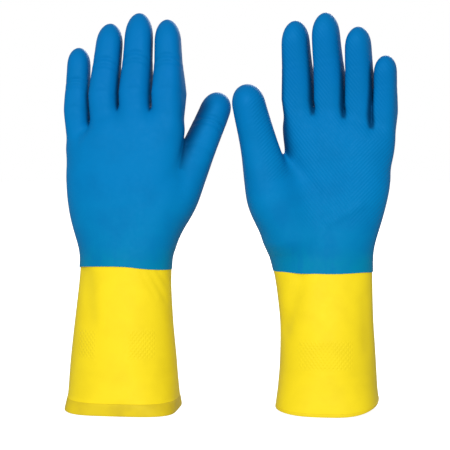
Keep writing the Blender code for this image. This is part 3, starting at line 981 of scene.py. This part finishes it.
def cuff_skin(glove, bottom, top):
    """The cuff's outer surface between two heights, in rows of quads."""
    rows = int((top - bottom) / CUFF_ROW) + 1
    around = 2 * math.pi * np.arange(CUFF_SIDES) / CUFF_SIDES
    z, angle = np.meshgrid(np.linspace(bottom, top, rows), around, indexing="ij")
    points = cuff_outline(glove, z, angle).reshape(-1, 3)
    index = np.arange(rows * CUFF_SIDES).reshape(rows, CUFF_SIDES)
    after = np.roll(index, -1, axis=1)
    quads = np.stack([index[:-1], after[:-1], after[1:], index[1:]], axis=-1).reshape(-1, 4)
    faces = quads.tolist()
    normals = vertex_normals(points, faces)
    points = points + normals * cuff_relief(glove, points, normals)[:, None]
    return Skin(points, faces, vertex_normals(points, faces))


def cuff_relief(glove, points, normals):
    """How far each point of the cuff stands out: its folds, and a slight fullness over the hem."""
    z = points[:, 2]
    fade = step_up(z, 4, 22) * (1 - step_up(z, glove.line - 2, glove.line + 6))
    relief = waves(points, 0.5) + line_marks(points, normals[:, 1], CUFF_MARKS[glove.name])
    hem_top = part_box(f"{glove.name}_cuff_hem")[1].z / MM
    over_hem = 1 - step_up(z, hem_top + 1, hem_top + 16)
    return relief * fade + 0.5 * over_hem


def knurl_mask(glove, points, normals):
    """Where the cuff carries a faint crosshatch, 0 to 1."""
    result = np.zeros(len(points))
    x, _, z = points.T
    for side, left, right, low, high in KNURL_PATCHES[glove.name]:
        patch = step_up(x, left - 4, left) * (1 - step_up(x, right, right + 4))
        patch *= step_up(z, low - 4, low) * (1 - step_up(z, high, high + 4))
        result = np.maximum(result, patch * step_up(normals[:, 1] * side, 0.1, 0.4))
    return result


def make_cuff(glove):
    hem_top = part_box(f"{glove.name}_cuff_hem")[1].z / MM
    top = glove.line + DIP_OVERLAP
    lining_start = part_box(f"{glove.name}_cuff_lining")[0].z / MM
    for part, layer, bottom, material, slot in (
        ("sleeve", SLEEVE, hem_top, YELLOW_RUBBER, "yellow_cuff"),
        ("lining", LINING, lining_start, FLOCK, "cream_flock"),
    ):
        skin = cuff_skin(glove, bottom, top)
        part_name = f"{glove.name}_cuff_{part}"
        attributes = {"rest": skin.points, "knurl": knurl_mask(glove, skin.points, skin.normals)}
        mesh = shell_mesh(part_name + "_skin", glove, skin, range(len(skin.faces)), layer, attributes)
        bend_at_wrist(add_piece(mesh, part_name + "_skin", part_name, material))
    make_hem(glove, hem_top)


def make_hem(glove, top):
    """The turned hem: a rounded band swept round the rim."""
    part_name = f"{glove.name}_cuff_hem"
    angle = 2 * math.pi * np.arange(CUFF_SIDES) / CUFF_SIDES
    proud = 0.05
    across, up = HEM_SQUARENESS
    profile = []
    for turn in 2 * math.pi * np.arange(HEM_POINTS) / HEM_POINTS:
        c, s = math.cos(turn), math.sin(turn)
        profile.append((
            -HEM_WALL / 2 + proud + (HEM_WALL / 2) * math.copysign(abs(c) ** across, c),
            top / 2 + top / 2 * math.copysign(abs(s) ** up, s),
        ))
    rings = []
    for out, z in profile:
        line = cuff_outline(glove, np.full(CUFF_SIDES, max(z, 0.0)), angle)
        ahead = np.roll(line, -1, axis=0) - np.roll(line, 1, axis=0)
        normal = np.stack([ahead[:, 1], -ahead[:, 0], 0 * angle], axis=-1)
        rings.append(line + out * normal / np.linalg.norm(normal, axis=1)[:, None])
    points = np.concatenate(rings)
    index = np.arange(len(points)).reshape(len(profile), CUFF_SIDES)
    ahead, above = np.roll(index, -1, axis=1), np.roll(index, -1, axis=0)
    quads = np.stack([index, ahead, np.roll(above, -1, axis=1), above], axis=-1).reshape(-1, 4)
    mesh = bpy.data.meshes.new(part_name + "_skin")
    mesh.from_pydata(to_world(glove, points).tolist(), [], quads.tolist())
    mesh.shade_smooth()
    store(mesh, "rest", points)
    piece = add_piece(mesh, part_name + "_skin", part_name, HEM_RUBBER[glove.name])
    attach(piece, f"{glove.name}_cuff")


# The studio.


def add_camera():
    target = Vector((-0.0044, 0.0, 0.1465))
    distance_m, elevation = 1.287, math.radians(5)
    data = bpy.data.cameras.new("camera")
    data.lens = 130
    data.sensor_width = 36
    camera = bpy.data.objects.new("camera", data)
    camera.location = target + distance_m * Vector((0, -math.cos(elevation), math.sin(elevation)))
    camera.rotation_euler = (math.pi / 2 - elevation, 0, 0)
    bpy.context.scene.collection.objects.link(camera)
    bpy.context.scene.camera = camera


def add_area_light(name, place, target, size, power):
    data = bpy.data.lights.new(name, "AREA")
    data.size = size
    data.energy = power
    light = bpy.data.objects.new(name, data)
    light.location = place
    light.rotation_euler = (Vector(target) - Vector(place)).to_track_quat("-Z", "Y").to_euler()
    bpy.context.scene.collection.objects.link(light)


def add_world():
    """A white surround to look at, which lights the gloves more softly than it looks."""
    world = bpy.data.worlds.new("studio")
    bpy.context.scene.world = world
    world.use_nodes = True
    tree = world.node_tree
    seen = node(tree, "LightPath").outputs["Is Camera Ray"]
    strength = ranged(tree, seen, 0, 1, 0.42, 1.0)
    tree.links.new(strength, tree.nodes["Background"].inputs["Strength"])
    tree.nodes["Background"].inputs["Color"].default_value = (1, 1, 1, 1)


def add_floor():
    material = bpy.data.materials.new("floor")
    material.use_nodes = True
    shader = material.node_tree.nodes["Principled BSDF"]
    shader.inputs["Base Color"].default_value = (0.6, 0.6, 0.6, 1)
    shader.inputs["Roughness"].default_value = 0.9
    shader.inputs["Emission Color"].default_value = (1, 1, 1, 1)
    shader.inputs["Emission Strength"].default_value = 0.9
    mesh = bpy.data.meshes.new("floor")
    bm = bmesh.new()
    bmesh.ops.create_circle(bm, cap_ends=True, radius=3.0, segments=96)
    bm.to_mesh(mesh)
    bm.free()
    mesh.materials.append(material)
    floor = bpy.data.objects.new("floor", mesh)
    bpy.context.scene.collection.objects.link(floor)
    floor.visible_diffuse = False
    floor.visible_glossy = False


for glove_side in ("left", "right"):
    measured = measure_glove(glove_side)
    make_cuff(measured)
    make_hand(measured)
add_camera()
add_world()
add_floor()
add_area_light("front", (-0.25, -1.75, 0.7), (0, 0, 0.16), 0.8, 28)
add_area_light("rear", (0.5, 1.5, 1.0), (0, 0, 0.16), 0.9, 20)
bpy.context.scene.view_settings.view_transform = "Standard"
